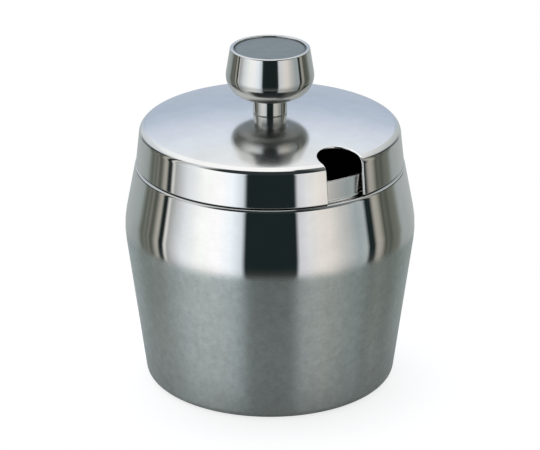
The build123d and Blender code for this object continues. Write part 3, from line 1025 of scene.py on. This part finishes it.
def studio():
    """The studio as light by direction. Two white boards stand in front of the pot with a tall dark
    gap between them and a dark room over them, dim edges show past them, and a pale backdrop rises
    behind the pot to the light overhead. The camera sees a white background, and metal and glass
    see the studio with a part of that background behind the pot."""
    world = bpy.data.worlds.new("studio")
    bpy.context.scene.world = world
    world.use_nodes = True
    nodes = Nodes(world.node_tree)
    direction = nodes.add("TexCoord").outputs["Generated"]
    from_camera = nodes.add("Mapping", {"Vector": direction, "Rotation": (0, 0, -radians(CAMERA_TURN))})
    x, y, z = nodes.split(from_camera.outputs[0])
    around = nodes.math("ARCTAN2", x, nodes.times(y, -1.0))
    aside = nodes.math("ABSOLUTE", around)
    turn = nodes.math("DIVIDE", aside, pi)
    reach = nodes.plus(z, nodes.times(y, REACH_BACK))
    boards = nodes.mix(nodes.smooth(x, *BOARDS_MEET), nodes.ramp(turn, by_turn(ROUND_THE_LEFT)),
                       nodes.ramp(turn, by_turn(ROUND_THE_RIGHT)))
    boards = nodes.mix(nodes.smooth(z, *TABLE_HEIGHTS, 0.0, TABLE_SHARE), boards, rgba(TABLE))
    room = nodes.times(nodes.smooth(around, *ROOM_LEFT_END), nodes.smooth(around, *ROOM_RIGHT_END))
    room = nodes.times(room, nodes.smooth(z, *ROOM_HEIGHTS))
    gloom = nodes.mix(nodes.smooth(around, *GREY_ROOM_START), rgba(DARK_ROOM), rgba(GREY_ROOM))
    boards = nodes.mix(room, boards, gloom)
    shade = nodes.times(nodes.smooth(aside, *SHADE_START), nodes.smooth(aside, *SHADE_END))
    shade = nodes.times(shade, nodes.smooth(reach, *SHADE_REACH, 0.0, SHADE_SHARE))
    boards = nodes.mix(shade, boards, rgba(DARK_ROOM))
    lamp = nodes.mix(nodes.smooth(x, *LAMPS_MEET), nodes.ramp(z, UP_THE_LEFT), nodes.ramp(z, UP_THE_RIGHT))
    lamp = nodes.mix(nodes.smooth(aside, *BACK_LAMP_START), lamp, nodes.ramp(z, UP_THE_BACK))
    raised = nodes.times(nodes.smooth(around, *RAISED_START),
                         nodes.smooth(around, *RAISED_END, 0.0, RAISED_BY))
    foot = nodes.plus(nodes.line(aside, *LAMP_TURN, *LAMP_FOOT), raised)
    full = nodes.plus(nodes.line(aside, *LAMP_TURN, *LAMP_FULL), raised)
    light = nodes.mix(nodes.smooth(reach, foot, full), boards, lamp)
    seen, sent_on = nodes.rays()
    behind = nodes.times(nodes.smooth(y, *BACKGROUND_DEPTH), nodes.smooth(z, *BACKGROUND_HEIGHTS))
    shown = nodes.times(nodes.times(sent_on, behind), BACKGROUND_IN_METAL)
    light = nodes.mix(nodes.math("MAXIMUM", seen, shown), light, rgba(WHITE))
    shader = nodes.add("Background", {"Color": light, "Strength": 1.0})
    nodes.show("World", shader.outputs[0])


FLOOR_RADIUS = 0.064
FLOOR_RINGS = 24
FLOOR_SEGMENTS = 96
FLOOR_LEVEL = -0.00003
FLOOR_FADE = (FLOOR_RADIUS * 0.70, FLOOR_RADIUS * 0.98)
FLOOR_GREY = (0.42, 0.42, 0.42)
FLOOR_LIFT = 0.76
FLOOR_LIFT_IN_METAL = 0.08


def floor_material():
    """Pale grey, lifted to white for the camera and a little for metal and glass. Towards the edge
    the camera sees plain white. The grey keeps the pot's shadow."""
    material, nodes = new_material("floor_pale")
    *_, flat = place(nodes)
    seen, sent_on = nodes.rays()
    lift = nodes.plus(nodes.times(seen, FLOOR_LIFT), nodes.times(sent_on, FLOOR_LIFT_IN_METAL))
    grey = nodes.add("BsdfDiffuse", {"Color": rgba(FLOOR_GREY)})
    glow = nodes.add("Emission", {"Color": rgba(WHITE), "Strength": lift})
    lifted = nodes.add("AddShader", {0: grey.outputs[0], 1: glow.outputs[0]})
    white = nodes.add("Emission", {"Color": rgba(WHITE), "Strength": 1.0})
    edge = nodes.times(nodes.smooth(flat, *FLOOR_FADE), seen)
    shown = nodes.add("MixShader", {0: edge, 1: lifted.outputs[0], 2: white.outputs[0]})
    nodes.show("Material", shown.outputs[0])
    return material


def floor():
    """A round table top whose far edge melts into the white background: x = r sin a, y = -r cos a.
    It lies a hair under the pot's foot, so that the two faces don't fight."""
    radius = np.linspace(0, FLOOR_RADIUS, FLOOR_RINGS)[:, None]
    angle = np.linspace(0, 2 * pi, FLOOR_SEGMENTS + 1)
    level = 0 * radius * angle + FLOOR_LEVEL
    grid = np.stack([radius * np.sin(angle), -radius * np.cos(angle), level], -1)
    faces = grid_faces(FLOOR_RINGS, FLOOR_SEGMENTS + 1)
    mesh = bpy.data.meshes.new("floor")
    mesh.from_pydata(grid.reshape(-1, 3).tolist(), [], faces.tolist())
    merge_points(mesh)
    mesh.materials.append(floor_material())
    top = bpy.data.objects.new("floor", mesh)
    bpy.context.scene.collection.objects.link(top)


def camera():
    """The photograph's viewpoint, aimed at the middle of the pot's height."""
    data = bpy.data.cameras.new("camera")
    data.lens = CAMERA_LENS
    data.sensor_width = CAMERA_SENSOR
    data.clip_start, data.clip_end = CAMERA_CLIP
    turn, rise = radians(CAMERA_TURN), radians(CAMERA_RISE)
    back = Vector((sin(turn) * cos(rise), -cos(turn) * cos(rise), sin(rise)))
    viewer = bpy.data.objects.new("camera", data)
    viewer.location = Vector((0, 0, AIM_HEIGHT)) + back * CAMERA_REACH
    viewer.rotation_euler = (-back).to_track_quat("-Z", "Y").to_euler()
    bpy.context.scene.collection.objects.link(viewer)
    bpy.context.scene.camera = viewer


bpy.context.scene.view_settings.view_transform = "Standard"
studio()
floor()
camera()
pot_body()
lid_sheet()
knob()
fixing()
